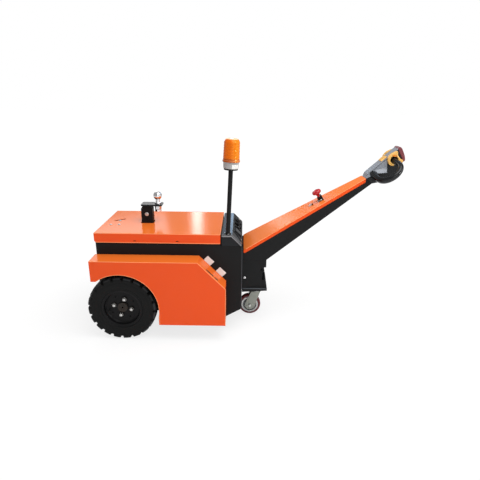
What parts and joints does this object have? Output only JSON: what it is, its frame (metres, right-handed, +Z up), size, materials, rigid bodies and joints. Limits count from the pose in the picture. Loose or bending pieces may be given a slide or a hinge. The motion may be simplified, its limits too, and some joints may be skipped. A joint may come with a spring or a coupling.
{
  "type": "three-wheel pedestrian tow tug",
  "caption": "Battery tow tug walked by its tiller: driven wheels under a sheet body with lid and fenders, swivel caster, tow ball on a post, beacon and long arm with loop handle.",
  "frame": {"origin": "on the floor, under the middle of the whole length and width", "axes": "+X towards the tiller's handle, +Z up, +Y to the left when facing the handle end"},
  "size_m": [1.7536, 0.674, 1.1107],
  "materials": {
    "black_paint": "satin powder coat",
    "orange_paint": "gloss powder coat",
    "console_black": "gloss powder coat",
    "panel_black": "moulded panel",
    "plate_white": "blank plates",
    "post_black": "satin paint",
    "beacon_grey": "moulded",
    "beacon_amber": "ribbed amber lens",
    "ball_chrome": "polished",
    "zinc_steel": "zinc plated",
    "battery_case": "plain block",
    "gear_grey": "painted casting",
    "motor_black": "satin paint",
    "tyre_rubber": "dull rubber",
    "rim_black": "gloss paint",
    "hub_steel": "bare steel with light rust",
    "caster_zinc": "zinc plated, slightly green",
    "caster_grey": "cast core",
    "tread_red": "dark red polyurethane",
    "knob_red": "gloss",
    "handle_grey": "satin moulding",
    "grip_black": "moulded grip",
    "throttle_yellow": "gloss moulding",
    "belly_red": "gloss moulding"
  },
  "bodies": {
    "vehicle": {"chassis": "black_paint", "lid": "orange_paint", "fender_left": "orange_paint", "fender_right": "orange_paint", "console": "console_black", "console_panel": "panel_black", "side_plates": "plate_white", "beacon_post": "post_black", "beacon_base": "beacon_grey", "beacon_lens": "beacon_amber", "hitch_post": "black_paint", "hitch_plate": "black_paint", "hitch_pin": "zinc_steel", "tow_ball": "ball_chrome", "ball_nut": "ball_chrome", "battery_pack": "battery_case", "axle_housing": "gear_grey", "drive_motor": "motor_black", "tiller_base": "black_paint", "tiller_arm": "black_paint", "arm_cover": "orange_paint", "caster_mount": "black_paint", "caster_plate": "caster_zinc", "stop_bracket": "black_paint", "stop_knob": "knob_red", "key_switch": "zinc_steel", "handle_neck": "grip_black", "handle_head": "handle_grey", "loop_left": "grip_black", "loop_right": "grip_black", "throttle_left": "throttle_yellow", "throttle_right": "throttle_yellow", "belly_button": "belly_red", "horn_button": "throttle_yellow"},
    "wheel_left": {"tyre_left": "tyre_rubber", "rim_left": "rim_black", "hub_left": "hub_steel"},
    "wheel_right": {"tyre_right": "tyre_rubber", "rim_right": "rim_black", "hub_right": "hub_steel"},
    "caster_swivel": {"caster_fork": "caster_zinc", "caster_axle": "zinc_steel"},
    "caster_wheel": {"caster_core": "caster_grey", "caster_tread": "tread_red"}
  },
  "joints": [
    {"name": "left_wheel_spin", "type": "hinge", "parent": "vehicle", "child": "wheel_left", "pos_m": [-0.6868, 0.28, 0.19], "axis": [0, 1, 0], "continuous": true},
    {"name": "right_wheel_spin", "type": "hinge", "parent": "vehicle", "child": "wheel_right", "pos_m": [-0.6868, -0.28, 0.19], "axis": [0, 1, 0], "continuous": true},
    {"name": "caster_turn", "type": "hinge", "parent": "vehicle", "child": "caster_swivel", "pos_m": [0.0652, 0, 0.165], "axis": [0, 0, 1], "continuous": true},
    {"name": "caster_spin", "type": "hinge", "parent": "caster_swivel", "child": "caster_wheel", "pos_m": [0.0292, 0, 0.068], "axis": [0, 1, 0], "continuous": true}
  ]
}
